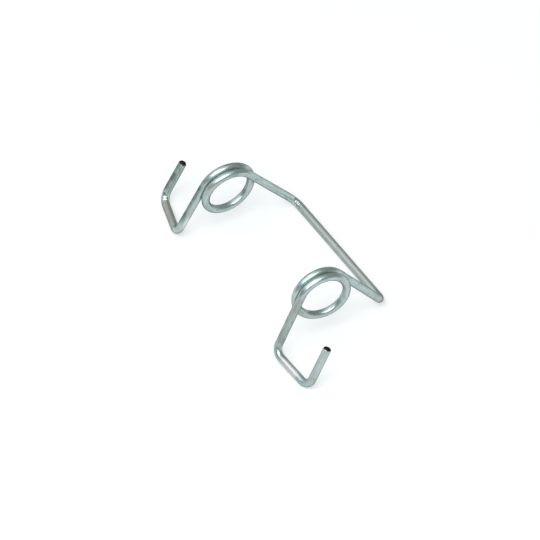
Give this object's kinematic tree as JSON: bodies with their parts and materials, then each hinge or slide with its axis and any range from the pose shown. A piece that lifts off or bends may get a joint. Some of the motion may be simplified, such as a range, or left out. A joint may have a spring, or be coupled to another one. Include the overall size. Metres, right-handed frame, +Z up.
{
  "type": "double torsion spring",
  "caption": "Round-wire spring with two mirrored coils joined by a U-shaped bail, and a straight leg with a square hook on each side.",
  "frame": {"origin": "on the floor, under the middle of the part's bounding box as it stands", "axes": "+X along the bridge towards the right coil, +Y from the hooks towards the bridge, +Z up"},
  "size_m": [0.114, 0.0484, 0.0318],
  "materials": {
    "zinc_plated_wire": "bright zinc plating, satin"
  },
  "bodies": {
    "root": {"spring_wire": "zinc_plated_wire"}
  },
  "joints": []
}
